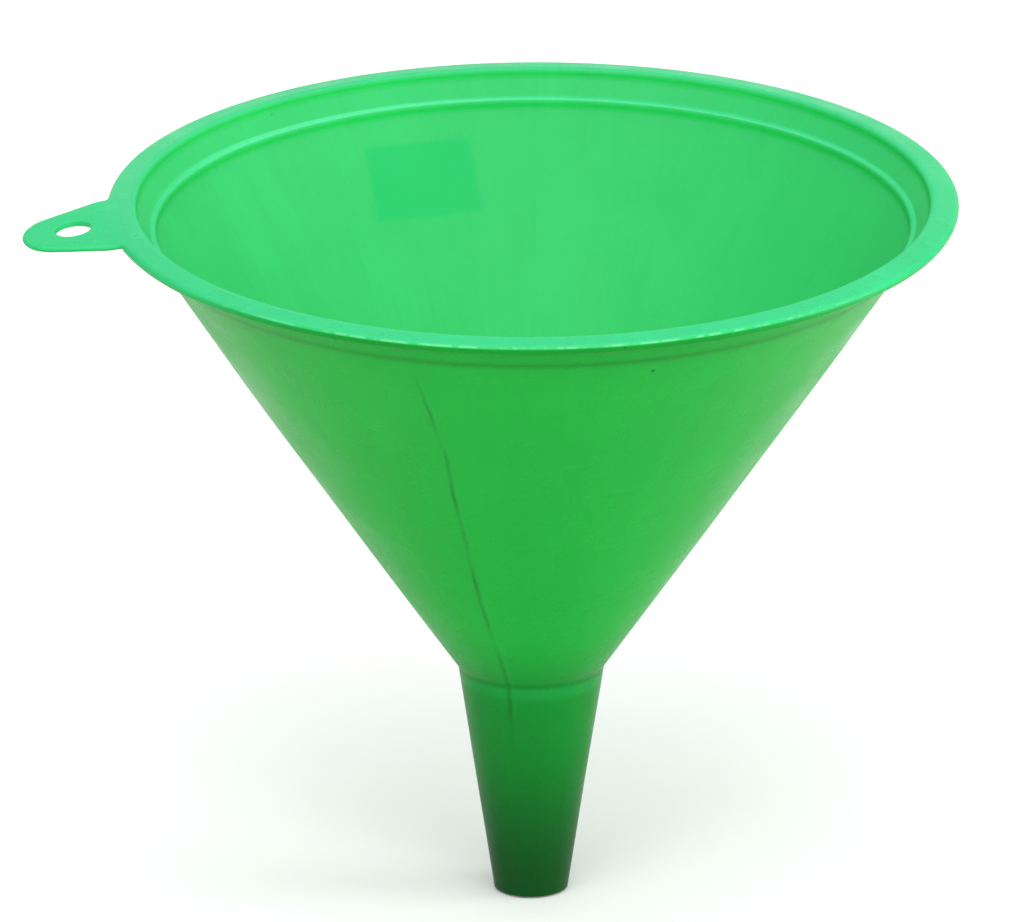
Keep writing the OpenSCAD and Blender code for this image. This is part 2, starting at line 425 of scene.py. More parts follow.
def lathed(section, skins):
    """The grid of points of a section turned round the axis, with the moulding's unevenness."""
    r = np.array([p[0] for p in section])[:, None]
    z = np.array([p[1] for p in section])[:, None]
    skin = np.array(skins)[:, None]
    theta = np.array([columns(float(h)) for h in z[:, 0]])
    grown = r + skin_wave(theta, z, skin) + knit_relief(theta, r, z, skin)
    return theta, grown, np.broadcast_to(z, theta.shape)


def shade(mesh):
    """Smooth shading, except at sharp corners."""
    mesh.shade_smooth()
    mesh.set_sharp_from_angle(angle=SHARP_ANGLE)


def edit_mesh(mesh, change):
    """Runs change on a mesh's bmesh and writes the result back."""
    bm = bmesh.new()
    bm.from_mesh(mesh)
    change(bm)
    bm.to_mesh(mesh)
    bm.free()


def add_mesh(name, points, faces, attributes=None):
    """A mesh object from points in millimetres, smooth except at sharp corners."""
    mesh = bpy.data.meshes.new(name)
    mesh.from_pydata([tuple(float(v) * MM for v in p) for p in points], [], faces)
    for key, values in (attributes or {}).items():
        layer = mesh.attributes.new(key, "FLOAT", "POINT")
        layer.data.foreach_set("value", np.asarray(values, np.float32))
    mesh.validate()
    shade(mesh)
    obj = bpy.data.objects.new(name, mesh)
    bpy.context.scene.collection.objects.link(obj)
    return obj


def ring_faces(rows, count):
    """Quads of a grid of rows by count points that closes in both directions."""
    i = np.arange(rows)[:, None]
    j = np.arange(count)[None, :]
    a, b = i * count + j, i * count + (j + 1) % count
    c, d = ((i + 1) % rows) * count + (j + 1) % count, ((i + 1) % rows) * count + j
    return np.stack([a, b, c, d], -1).reshape(-1, 4).tolist()


# What the material is told, in millimetres: the knit line's dark core, a painted highlight beside it, and
# painted shade just under the crease
CORE_W, BESIDE_AT, BESIDE_W = 0.5, 1.05, 0.5
CREASE_SHADE_BELOW, CREASE_SHADE_W = 0.4, 1.0


def turned(name, outer, inner):
    """A zone of the moulding. Its outer line runs up, its inner line runs down, and flat rings join them."""
    section = outer + inner
    skins = [OUTSIDE] * len(outer) + [INSIDE] * len(inner)
    theta, r, z = lathed(section, skins)
    x, y, z = rim_warp(r * np.cos(theta), r * np.sin(theta), z)
    d = knit_distance(theta, r, z)
    outside = np.array(skins)[:, None] == OUTSIDE
    strength = np.where(outside, knit_strength(z), 0.0)
    # The marks: the knit line's core, a painted highlight beside it, and painted shade just under the crease
    marks = {"knit": strength * hump(d, CORE_W),
             "beside_knit": strength * hump(d - BESIDE_AT, BESIDE_W),
             "thick": np.where(outside, hump(z - CREASE_Z + CREASE_SHADE_BELOW, CREASE_SHADE_W), 0.0)}
    points = np.stack([x, y, z], -1).reshape(-1, 3)
    return add_mesh(name, points, ring_faces(len(section), COLUMN_COUNT),
                    {key: mark.ravel() for key, mark in marks.items()})


# -------- sections of the zones

# Cone
cone_outer = line(on(cone_out, THROAT_TOP_Z), (CONE_TOP_R, CREASE_Z), step=1.0)
cone_inner = line(on(cone_in, CREASE_Z), on(cone_in, THROAT_TOP_Z), step=2.4)

# Throat: a small round outside, where the cone leaves the spout, and a larger one inside
throat_low, throat_high = on(spout_out, THROAT_BOTTOM_Z), on(cone_out, THROAT_TOP_Z)
throat_outer = chain(
    [throat_low],
    corner(throat_low, (THROAT_R, THROAT_H), throat_high, THROAT_OUT_R, n=10),
    line(on(cone_out, THROAT_TOP_Z - 0.9), throat_high, step=0.45))
bore_low, bore_high = on(spout_in, THROAT_BOTTOM_Z), on(cone_in, THROAT_TOP_Z)
throat_inner = chain(
    [bore_high],
    corner(bore_high, on(spout_in, BORE_THROAT_Z), bore_low, THROAT_IN_R, n=10),
    [bore_low])

# Spout: a flat end with a round outer edge
end_face_in = BORE_TIP_R + 0.12
spout_outer = chain(
    line((end_face_in, 0), (TIP_R - TIP_ROUND, 0), step=0.3),
    corner((TIP_R - 1, 0), (TIP_R, 0), on(spout_out, 5), TIP_ROUND, n=8),
    line(on(spout_out, 0.6), on(spout_out, THROAT_BOTTOM_Z), step=1.0))
spout_inner = chain(
    line(on(spout_in, THROAT_BOTTOM_Z), on(spout_in, 0.6), step=2.0),
    corner(on(spout_in, 1), (BORE_TIP_R, 0), (BORE_TIP_R + 1, 0), BORE_EDGE_R, n=3))

# Ledge: a step outside where the cone starts, and a narrow flat step with an upright front inside
crease_edge = on(collar_out, CREASE_Z)
ledge_outer = chain(
    line((CONE_TOP_R, CREASE_Z), (crease_edge[0] - 0.25, CREASE_Z), step=0.15),
    corner((CONE_TOP_R, CREASE_Z), crease_edge, on(collar_out, LEDGE_TOP_Z), STEP_EDGE_R, n=8),
    line(on(collar_out, CREASE_Z + STEP_EDGE_R), on(collar_out, LEDGE_TOP_Z), step=0.8))
ledge_back = (LEDGE_EDGE_R + LEDGE_W, LEDGE_Z)
ledge_edge = (LEDGE_EDGE_R, LEDGE_Z)
ledge_foot = (LEDGE_EDGE_R, FOOT_Z)
ledge_inner = chain(
    [on(collar_in, LEDGE_TOP_Z)],
    corner(on(collar_in, LEDGE_TOP_Z), ledge_back, ledge_edge, LEDGE_BACK_R, n=8),
    corner(ledge_back, ledge_edge, ledge_foot, LEDGE_R, n=12),
    corner(ledge_edge, ledge_foot, on(cone_in, CREASE_Z), LEDGE_FOOT_R, n=10),
    [on(cone_in, CREASE_Z)])

# The upright wall below the mouth meets the collar's slope in a round, which the rim and the collar share
mouth_blend = corner((MOUTH_R, TOTAL_H), (MOUTH_R, RIM_BOTTOM_Z), ledge_back, MOUTH_FOOT_R, n=16)
blend_above = [p for p in mouth_blend if p[1] > RIM_BOTTOM_Z]
blend_below = [p for p in mouth_blend if p[1] <= RIM_BOTTOM_Z]


def crossing(p, q, z):
    """The point at height z on the line from p to q."""
    return p[0] + (z - p[1]) / (q[1] - p[1]) * (q[0] - p[0]), z


blend_split = crossing(blend_above[-1], blend_below[0], RIM_BOTTOM_Z)

# Collar
collar_outer = line(on(collar_out, LEDGE_TOP_Z), on(collar_out, RIM_BOTTOM_Z), step=0.7)
collar_inner = chain([blend_split], blend_below, line(blend_below[-1], on(collar_in, LEDGE_TOP_Z), step=0.6))


# Rim: the flange with its bead, and the first of the wall below the mouth
def top_z(r):
    return flange_z(r, 0)


def low_z(r):
    return flange_z(r, FLANGE_T)


# Radii where the flange's underside and top run straight, clear of the rounds at its inner end
LOW_STRAIGHT_R, TOP_STRAIGHT_R = 95.8, 95.6

# where the flange's underside and the collar's outside would meet
under_z = (low_z(0) - math.tan(FALL) * collar_out(0)) / (1 + math.tan(FALL) * COLLAR_OUT_SLOPE)
mouth_c = (MOUTH_R + CREST_R, TOTAL_H - CREST_R)
bead_line, bead_fillet_c, bead_touch = round_fillet(
    (JOIN_R, low_z(JOIN_R)), (-math.cos(FALL), math.sin(FALL)), (-math.sin(FALL), -math.cos(FALL)),
    BEAD_FILLET_R, BEAD_C, BEAD_R)
bead_from = math.degrees(math.atan2(bead_touch[1] - BEAD_C[1], bead_touch[0] - BEAD_C[0])) % 360
bead_to = 360 + 90 - math.degrees(FALL)
bead_top = (BEAD_C[0] + BEAD_R * math.sin(FALL), BEAD_C[1] + BEAD_R * math.cos(FALL))
rim_outer = chain(
    [on(collar_out, RIM_BOTTOM_Z)],
    corner(on(collar_out, RIM_BOTTOM_Z), on(collar_out, under_z), (JOIN_R, low_z(JOIN_R)), UNDER_RIM_R, n=8),
    line((LOW_STRAIGHT_R, low_z(LOW_STRAIGHT_R)), (JOIN_R, low_z(JOIN_R)), step=0.75),
    arc_between(bead_line, bead_fillet_c, bead_touch, n=5),
    arc(BEAD_C, BEAD_R, bead_from, bead_to, n=32),
    line(bead_top, (JOIN_R, top_z(JOIN_R)), step=0.8),
    line((JOIN_R, top_z(JOIN_R)), (TOP_STRAIGHT_R, top_z(TOP_STRAIGHT_R)), step=0.85),
    corner((RIM_R, top_z(RIM_R)), FALL_START, (mouth_c[0], TOTAL_H), FALL_START_R, n=8),
    [(mouth_c[0] + 0.3, TOTAL_H)])
rim_inner = chain(arc(mouth_c, CREST_R, 90, 180, n=12), blend_above, [blend_split])


def rim_piece(name):
    """The rim as a turned zone, cut back to JOIN_R between the tab's sides."""
    section = rim_outer + rim_inner
    skins = np.array([OUTSIDE] * len(rim_outer) + [INSIDE] * len(rim_inner))[:, None]
    r = np.array([p[0] for p in section])[:, None]
    z = np.array([p[1] for p in section])[:, None]
    theta = np.broadcast_to(columns(RIM_BOTTOM_Z), (len(section), COLUMN_COUNT))
    grown = r + skin_wave(theta, RIM_BOTTOM_Z + 0 * z, skins)
    high = np.broadcast_to(z, theta.shape).copy()
    past = np.nonzero(r[:, 0] > JOIN_R + 1e-6)[0]
    share = (np.arange(len(past)) + 1) / (len(past) + 1)
    cut_z = low_z(JOIN_R) + share * (top_z(JOIN_R) - low_z(JOIN_R))
    # the tab's two side columns stand twice: once whole, once cut back
    before, across = range(TAB_FIRST + 1), range(TAB_FIRST, TAB_LAST + 1)
    after = range(TAB_LAST, COLUMN_COUNT)
    order = [*before, *across, *after]
    cut = [False] * len(before) + [True] * len(across) + [False] * len(after)
    theta, grown, high = theta[:, order], grown[:, order], high[:, order].copy()
    at_join = r[:, 0].copy()
    at_join[past] = JOIN_R
    wave = grown - r
    for j, is_cut in enumerate(cut):
        if is_cut:
            grown[:, j] = at_join + wave[:, j]
            high[past, j] = cut_z
    x, y, zz = rim_warp(grown * np.cos(theta), grown * np.sin(theta), high)
    points = np.stack([x, y, zz], -1).reshape(-1, 3)
    obj = add_mesh(name, points, ring_faces(len(section), len(order)))
    edit_mesh(obj.data, lambda bm: bmesh.ops.remove_doubles(bm, verts=bm.verts, dist=1e-7))
    shade(obj.data)
    return obj


# -------- the hanging tab

def tab_surface():
    """The fall angle and height of the tab's middle surface by radius.

    The flange's fall runs on into the tab's steeper one."""
    r = np.linspace(JOIN_R - 3, RIM_R + TAB_REACH + 3, 800)
    angle = FALL + (TAB_FALL - FALL) * smooth(np.clip((r - JOIN_R) / TAB_BEND_W, 0, 1))
    drop = np.concatenate([[0], np.cumsum(np.tan((angle[1:] + angle[:-1]) / 2) * np.diff(r))])
    return r, angle, flange_z(JOIN_R, EDGE_R) + np.interp(JOIN_R, r, drop) - drop


TAB_RADII, TAB_ANGLES, TAB_HEIGHTS = tab_surface()


def on_tab(plan, height):
    """Points at a height off the tab's middle surface, square to it, and the surface's directions there.

    The plan points are in the tab's own axes."""
    r = np.hypot(plan[:, 0], plan[:, 1])
    a = np.interp(r, TAB_RADII, TAB_ANGLES)
    radial = plan / r[:, None]
    normal = np.column_stack([radial * np.sin(a)[:, None], np.cos(a)])
    base = np.column_stack([plan, np.interp(r, TAB_RADII, TAB_HEIGHTS)])
    return base + normal * np.reshape(height, (-1, 1)), normal


def sheet_z(plan, height):
    """Height of the surface that lies a distance off the tab's middle surface, at plan points."""
    r = TAB_RADII + height * np.sin(TAB_ANGLES)
    return np.interp(np.hypot(plan[:, 0], plan[:, 1]), r, TAB_HEIGHTS + height * np.cos(TAB_ANGLES))


def inside(point, loop):
    """True if a plan point lies inside a closed loop."""
    x, y = point
    a, b = loop, np.roll(loop, -1, 0)
    crosses = (a[:, 1] > y) != (b[:, 1] > y)
    with np.errstate(divide="ignore", invalid="ignore"):
        at = a[:, 0] + (y - a[:, 1]) / (b[:, 1] - a[:, 1]) * (b[:, 0] - a[:, 0])
    return bool(np.count_nonzero(crosses & (x < at)) % 2)


def fill(loop, holes, step):
    """Triangles over the region inside loop and outside the holes, with extra points about step apart.

    Returns the points and the triangles by index. The loop's points come first, then the holes', then the
    extra ones."""
    rims = [np.asarray(loop)] + [np.asarray(h) for h in holes]
    fixed = np.concatenate(rims)
    low, high = fixed.min(0), fixed.max(0)
    extra = []
    for iy, y in enumerate(np.arange(low[1] + step / 2, high[1], step * 0.87)):
        for x in np.arange(low[0] + (step / 2 if iy % 2 else 0), high[0], step):
            p = np.array([x, y])
            if inside(p, rims[0]) and not any(inside(p, h) for h in rims[1:]) \
                    and np.min(np.hypot(*(fixed - p).T)) > step * 0.6:
                extra.append(p)
    points = np.concatenate([fixed, np.array(extra)]) if extra else fixed
    edges, start = [], 0
    for rim in rims:
        edges += [(start + i, start + (i + 1) % len(rim)) for i in range(len(rim))]
        start += len(rim)
    made, _, faces, origin, _, _ = delaunay_2d_cdt([Vector(p) for p in points], edges, [], 0, 1e-5)
    index = [o[0] for o in origin]
    kept = []
    for f in faces:
        centre = np.mean([made[i] for i in f], axis=0)
        if inside(centre, rims[0]) and not any(inside(centre, h) for h in rims[1:]):
            kept.append([index[i] for i in f])
    return points, kept


def hole_wall():
    """Radius and height off the middle surface, down the wall of the hole, with its softened edges."""
    soft, quarter = TAB_HOLE_SOFT, np.linspace(0, math.pi / 2, 5)
    wall = [(TAB_HOLE_R + soft * (1 - math.sin(t)), EDGE_R - soft * (1 - math.cos(t))) for t in quarter]
    return wall + [(r, -h) for r, h in wall[::-1]]


def placed_tab(points):
    """The tab's points, slightly twisted, turned to the tab's direction and warped with the rim."""
    p = np.array(points)
    share = np.clip((np.hypot(p[:, 0], p[:, 1]) - JOIN_R) / TAB_TWIST_W, 0, 1)
    z = p[:, 2] + np.tan(TAB_TWIST * smooth(share)) * p[:, 1]
    c, s = math.cos(TAB_AZ), math.sin(TAB_AZ)
    x, y = p[:, 0] * c - p[:, 1] * s, p[:, 0] * s + p[:, 1] * c
    theta, r = np.arctan2(y, x), np.hypot(x, y)
    wave = skin_wave(theta, np.full_like(theta, RIM_BOTTOM_Z), np.full_like(theta, OUTSIDE))
    return np.column_stack(rim_warp(x * (r + wave) / r, y * (r + wave) / r, z))


def tab_piece(name):
    """The hanging tab.

    Its two faces run on from the flange's, its outline has a full round, and its hole has softened edges."""
    count = len(TAB_LINE)
    base, normal = on_tab(TAB_LINE, np.zeros(count))
    outward = np.column_stack([TAB_OUT, np.zeros(count)])
    outward -= normal * np.sum(outward * normal, 1)[:, None]
    outward /= np.linalg.norm(outward, axis=1)[:, None]
    points, faces = [], []

    def add(rows):
        start = len(points)
        points.extend(np.asarray(rows).tolist())
        return list(range(start, start + len(rows)))

    turns = np.linspace(math.pi / 2, -math.pi / 2, 13)
    edge = [add(base + EDGE_R * (math.cos(t) * outward + math.sin(t) * normal)) for t in turns]
    for a, b in zip(edge, edge[1:]):
        for i in range(count - 1):
            faces.append([a[i], b[i], b[i + 1], a[i + 1]])
    around = np.linspace(0, 2 * math.pi, 72, endpoint=False)
    hole = []
    for r, h in hole_wall():
        plan = np.column_stack([TAB_HOLE_X + r * np.cos(around), r * np.sin(around)])
        hole.append(add(on_tab(plan, np.full(len(around), h))[0]))
    for a, b in zip(hole, hole[1:]):
        for i in range(len(around)):
            j = (i + 1) % len(around)
            faces.append([a[i], a[j], b[j], b[i]])
    # the join with the flange, at the flange's own columns
    angles = np.linspace(-TAB_HALF, TAB_HALF, TAB_COLUMNS + 1)
    plan = JOIN_R * np.column_stack([np.cos(angles), np.sin(angles)])
    joins = [add(np.column_stack([plan, np.full(len(plan), z)])) for z in (top_z(JOIN_R), low_z(JOIN_R))]
    for i in range(TAB_COLUMNS):
        faces.append([joins[0][i], joins[0][i + 1], joins[1][i + 1], joins[1][i]])
    # the flat ends that touch the flange's round edge
    faces.append([joins[0][0], joins[1][0]] + [row[0] for row in edge[::-1]])
    faces.append([joins[1][-1], joins[0][-1]] + [row[-1] for row in edge])
    # the two faces
    top, bottom = (hole[0], edge[0], joins[0], EDGE_R), (hole[-1], edge[-1], joins[1], -EDGE_R)
    for ring, rim, join, height in (top, bottom):
        loop = rim + join[::-1]
        at = np.array(points)
        plan_points, triangles = fill(at[loop][:, :2], [at[ring][:, :2]], step=1.4)
        known = loop + ring
        extra = plan_points[len(known):]
        ids = known + add(np.column_stack([extra, sheet_z(extra, height)]))
        for t in triangles:
            a, b, c = (np.array(points[ids[i]]) for i in t)
            up = np.cross(b - a, c - a)[2] > 0
            t = t if up == (height > 0) else t[::-1]
            faces.append([ids[i] for i in t])
    return add_mesh(name, placed_tab(points), faces)


# -------- the label

LABEL_W, LABEL_H, LABEL_T = 26.5, 18.5, 0.12
LABEL_Z = 148.5
LABEL_AZ = math.radians(90 + 18.7)
LABEL_CORNER = 0.8


def label_lift(u, v):
    """How far the sticker stands off the wall. Two of its corners lift, and the paper cockles a little."""
    half_w, half_h = LABEL_W / 2, LABEL_H / 2
    high_corner = np.exp(-(((u - half_w) / 3.2) ** 2 + ((v + half_h) / 3.0) ** 2))
    low_corner = np.exp(-(((u + half_w) / 2.6) ** 2 + ((v - half_h) / 2.2) ** 2))
    cockle = np.sin(u * 1.3 + 0.8) * np.sin(v * 0.9 + 2.1)
    return 0.02 + 0.32 * high_corner + 0.10 * low_corner + 0.012 * cockle


def label_piece(name):
    """A blank paper sticker with rounded corners, on the cone's outside."""
    hw, hh, c = LABEL_W / 2, LABEL_H / 2, LABEL_CORNER
    loop = []
    for turn, (right, upper) in enumerate(((1, 1), (-1, 1), (-1, -1), (1, -1))):
        loop += arc((right * (hw - c), upper * (hh - c)), c, 90 * turn, 90 * turn + 90, n=5)
    dense = []
    for p, q in zip(loop, loop[1:] + loop[:1]):
        dense += line(p, q, step=0.8)[:-1]
    plan, triangles = fill(dense, [], step=0.9)
    u, v = plan[:, 0], plan[:, 1]
    z = LABEL_Z + v * math.cos(CONE_ANGLE)
    r = np.array([cone_out(h) for h in z])
    theta = LABEL_AZ + u / r
    surface = r + skin_wave(theta, z, np.full_like(z, OUTSIDE))
    n_r, n_z = math.cos(CONE_ANGLE), -math.sin(CONE_ANGLE)
    back = label_lift(u, v)
    layers = []
    for h in (back, back + LABEL_T):
        rr, zz = surface + h * n_r, z + h * n_z
        x, y, zz = rim_warp(rr * np.cos(theta), rr * np.sin(theta), zz)
        layers.append(np.column_stack([x, y, zz]))
    n = len(plan)
    faces = [[i + n for i in t] for t in triangles] + [t[::-1] for t in triangles]
    rim = len(dense)
    faces += [[i, (i + 1) % rim, (i + 1) % rim + n, i + n] for i in range(rim)]
    obj = add_mesh(name, np.concatenate(layers), faces)
    edit_mesh(obj.data, lambda bm: bmesh.ops.recalc_face_normals(bm, faces=bm.faces))
    return obj


# -------- materials

class Shader:
    """A material's node tree, built by name."""

    def __init__(self, name):
        self.material = bpy.data.materials.new(name)
        self.material.use_nodes = True
        self.tree = self.material.node_tree
        self.tree.nodes.clear()

    def node(self, kind, inputs=None, **settings):
        made = self.tree.nodes.new("ShaderNode" + kind)
        for key, value in settings.items():
            setattr(made, key, value)
        for key, value in (inputs or {}).items():
            self.fill(made.inputs[key], value)
        return made

    def fill(self, socket, value):
        """Links a socket to another node's output, or sets its own value."""
        if isinstance(value, bpy.types.NodeSocket):
            self.tree.links.new(value, socket)
        else:
            socket.default_value = value

    def place(self):
        """Where a point lies in the object's own space, in millimetres."""
        return self.vector("MULTIPLY", self.node("TexCoord").outputs["Object"], (1 / MM,) * 3)

    def math(self, operation, a, b=0.0):
        return self.node("Math", {0: a, 1: b}, operation=operation).outputs[0]

    def product(self, first, *others):
        for other in others:
            first = self.math("MULTIPLY", first, other)
        return first

    def total(self, first, *others):
        for other in others:
            first = self.math("ADD", first, other)
        return first

    def distance(self, value, middle):
        """How far a value is from a middle, either way."""
        return self.math("ABSOLUTE", self.math("SUBTRACT", value, middle))

    def vector(self, operation, a, b=(0, 0, 0)):
        return self.node("VectorMath", {0: a, 1: b}, operation=operation).outputs[0]

    def number(self, operation, a, b):
        """A vector operation whose result is a number."""
        return self.node("VectorMath", {0: a, 1: b}, operation=operation).outputs["Value"]

    def scaled(self, vector, factor):
        return self.node("VectorMath", {0: vector, "Scale": factor}, operation="SCALE").outputs[0]

    def ramp(self, value, low, high, to_low=0.0, to_high=1.0):
        """A smooth step from to_low at low to to_high at high."""
        ends = {"From Min": low, "From Max": high, "To Min": to_low, "To Max": to_high}
        made = self.node("MapRange", {"Value": value, **ends}, interpolation_type="SMOOTHSTEP")
        return made.outputs["Result"]

    def noise(self, vector, scale=1.0, detail=2.0, rough=0.5, distortion=0.0):
        look = {"Scale": scale, "Detail": detail, "Roughness": rough, "Distortion": distortion}
        return self.node("TexNoise", {"Vector": vector, **look}).outputs["Fac"]

    def mapped(self, vector, turn, scale):
        return self.node("Mapping", {"Vector": vector, "Rotation": turn, "Scale": scale}).outputs[0]

    def mix(self, factor, a, b):
        """A blend of two colours. The Mix node keeps its colours in sockets 6 and 7, and its result in 2."""
        made = self.node("Mix", data_type="RGBA", blend_type="MIX", clamp_factor=True)
        for index, value in ((0, factor), (6, a), (7, b)):
            self.fill(made.inputs[index], value)
        return made.outputs[2]

    def separate(self, vector):
        return self.node("SeparateXYZ", {0: vector}).outputs

    def combine(self, x, y, z):
        return self.node("CombineXYZ", {0: x, 1: y, 2: z}).outputs[0]

    def attribute(self, name):
        return self.node("Attribute", attribute_name=name).outputs["Fac"]

    def bump(self, height, strength):
        return self.node("Bump", {"Height": height, "Strength": strength, "Distance": MM}).outputs[0]

    def finish(self, surface):
        self.node("OutputMaterial", {"Surface": surface.outputs[0]})
        return self.material


def rgb(r, g, b):
    return (r, g, b, 1.0)


# The plastic's greens: painted shade where it looks down, in the bowl, painted sheen where it looks up and
# on the rim, painted shade at the tip, lit from behind
DOWN_SHADE_GREEN = rgb(0.002, 0.475, 0.043)
BOWL_GREEN = rgb(0.048, 0.66, 0.190)
SHEEN_GREEN = rgb(0.046, 0.71, 0.285)
TIP_SHADE_GREEN = rgb(0.001, 0.06, 0.006)
THROUGH_GREEN = rgb(0.004, 0.50, 0.045)

# Greens of painted light and shade (the first seven, and the strip beside the knit line), and of marks in
# the plastic
UPRIGHT_LIGHT_GREEN = rgb(0.020, 0.84, 0.15)
LEDGE_HIGHLIGHT_GREEN = rgb(0.13, 0.88, 0.42)
FRONT_EDGE_SHADE_GREEN = rgb(0.001, 0.20, 0.012)
RIM_HIGHLIGHT_GREEN = rgb(0.24, 0.90, 0.48)
LIT_BAND_GREEN = rgb(0.03, 0.60, 0.15)
CREASE_SHADE_GREEN = rgb(0.001, 0.22, 0.010)
LABEL_SHADOW_GREEN = rgb(0.006, 0.64, 0.175)
KNIT_GREEN = rgb(0.001, 0.17, 0.010)
BESIDE_KNIT_GREEN = rgb(0.03, 0.60, 0.12)
SPECK_GREEN = rgb(0.004, 0.06, 0.015)
SCRATCH_GREEN = rgb(0.10, 0.62, 0.24)

# A small dark inclusion in the front of the cone
SPOT_X, SPOT_Z = 28.2, 157.2
SPOT = (SPOT_X, -math.sqrt(cone_out(SPOT_Z) ** 2 - SPOT_X ** 2), SPOT_Z)


class Plastic(Shader):
    """The translucent green plastic: a colour that each method marks in turn, over one set of measures."""

    def __init__(self):
        super().__init__("green_plastic")
        self.at = self.place()
        x, y, self.z = self.separate(self.at)
        self.radius = self.math("SQRT", self.total(self.product(x, x), self.product(y, y)))
        self.round_x, self.round_y = self.math("DIVIDE", x, self.radius), self.math("DIVIDE", y, self.radius)
        geometry = self.node("NewGeometry").outputs
        facing = self.math("SUBTRACT", 1.0, self.product(geometry["Backfacing"], 2.0))
        normal_x, normal_y, normal_z = self.separate(geometry["Normal"])
        outward = self.total(self.product(normal_x, self.round_x), self.product(normal_y, self.round_y))
        self.up = self.product(normal_z, facing)
        self.inside = self.ramp(self.product(outward, facing), 0.1, -0.1)
        self.outside = self.ramp(self.up, 0.08, -0.08)
        self.mottle = self.noise(self.at, 0.9, 3.0, 0.6)
        self.fine_flow = self.noise(self.streaks(46.0, 0.03), 1.0, 3.0, 0.6, 0.2)

    def streaks(self, across, along):
        """A place that changes fast round the funnel and slowly along it, for streaks of flow."""
        return self.combine(self.product(self.round_x, across), self.product(self.round_y, across),
                            self.product(self.z, along))

    def mark(self, factor, strength, colour):
        """Blends a colour into the base, by factor times strength."""
        self.base = self.mix(self.product(factor, strength), self.base, colour)

    def faces(self):
        """Painted light and shade: faces that look down are painted deep; faces that look up, and inside
        faces, are painted paler, with a painted sheen.
        """
        pale = self.ramp(self.total(self.up, self.product(self.inside, 0.6)), 0.1, 0.6)
        self.base = self.mix(pale, DOWN_SHADE_GREEN, BOWL_GREEN)
        self.base = self.mix(self.ramp(self.up, 0.6, 0.98), self.base, SHEEN_GREEN)

    def mouth_and_ledge(self):
        """Painted light inside: upright faces at the mouth and the ledge are painted a brighter green, and
        the ledge's top gets a painted highlight, both strongest at the back.
        """
        steep = self.ramp(self.math("ABSOLUTE", self.up), 0.50, 0.15)
        upright = self.product(self.inside, steep, self.ramp(self.z, CREASE_Z, CREASE_Z + 1.0))
        self.mark(upright, self.ramp(self.round_y, -0.2, 0.8, 0.40, 0.70), UPRIGHT_LIGHT_GREEN)
        near_ledge = self.product(self.ramp(self.distance(self.z, LEDGE_Z), 0.9, 0.6),
                                  self.ramp(self.radius, 93.0, 92.5), self.ramp(self.up, 0.5, 0.8))
        self.mark(near_ledge, self.ramp(self.round_y, 0.1, 0.8, 0.05, 0.65), LEDGE_HIGHLIGHT_GREEN)

    def rim_edge(self):
        """Painted light on the outer edge at the sides and back, painted shade on it at the front, and short
        painted highlights along the front's rounded top.
        """
        at_rim = self.product(self.ramp(self.z, TOTAL_H - 6.2, TOTAL_H - 4.2),
                              self.ramp(self.radius, JOIN_R - 1.0, JOIN_R + 0.5))
        front = self.ramp(self.round_y, -0.5, -0.95)
        side = self.ramp(self.round_y, -0.95, -0.5)
        self.mark(self.product(at_rim, side, self.ramp(self.up, -0.5, 0.1)), 0.75, SHEEN_GREEN)
        self.mark(self.product(at_rim, self.ramp(self.up, 0.62, 0.25), front), 0.58, FRONT_EDGE_SHADE_GREEN)
        runs = self.ramp(self.noise(self.streaks(17.0, 0.0), 1.0, 2.0, 0.6), 0.47, 0.56)
        crown = self.product(self.ramp(self.up, 0.42, 0.55), self.ramp(self.up, 0.86, 0.72))
        self.mark(self.product(at_rim, front, runs, crown), 0.55, RIM_HIGHLIGHT_GREEN)

    def pigment(self):
        """Cloudy pigment, flow streaks and mottle, all faint."""
        cloud = self.noise(self.at, 0.028, 3.0, 0.55, 0.6)
        flow = self.noise(self.streaks(9.0, 0.012), 1.0, 4.0, 0.6, 0.25)
        tone = self.total(0.95, self.product(self.ramp(cloud, 0.3, 0.7), 0.05),
                          self.product(self.ramp(flow, 0.35, 0.7), 0.03),
                          self.product(self.ramp(self.fine_flow, 0.5, 0.72), -0.025),
                          self.product(self.ramp(self.mottle, 0.4, 0.75), 0.02))
        self.base = self.scaled(self.base, tone)

    def spout_shade(self):
        """Painted shade: the plastic is painted deeper down the spout, darkest towards the tip."""
        deep = self.total(self.ramp(self.z, 74.0, 46.0, 0.0, 0.42), self.ramp(self.z, 50.0, 2.0, 0.0, 0.50))
        self.base = self.mix(deep, self.base, TIP_SHADE_GREEN)

    def throat_shade_and_glow(self):
        """Painted shade in a thin line in the crease where the cone leaves the spout, and a painted lit band
        just below it.
        """
        thin = self.ramp(self.distance(self.z, THROAT_H + 0.1), 1.5, 0.1)
        band = self.product(self.ramp(self.z, THROAT_H - 0.2, THROAT_H - 1.6),
                            self.ramp(self.z, THROAT_H - 4.4, THROAT_H - 2.6))
        self.mark(self.product(thin, self.outside), 0.24, TIP_SHADE_GREEN)
        self.mark(self.product(band, self.outside), 0.18, LIT_BAND_GREEN)

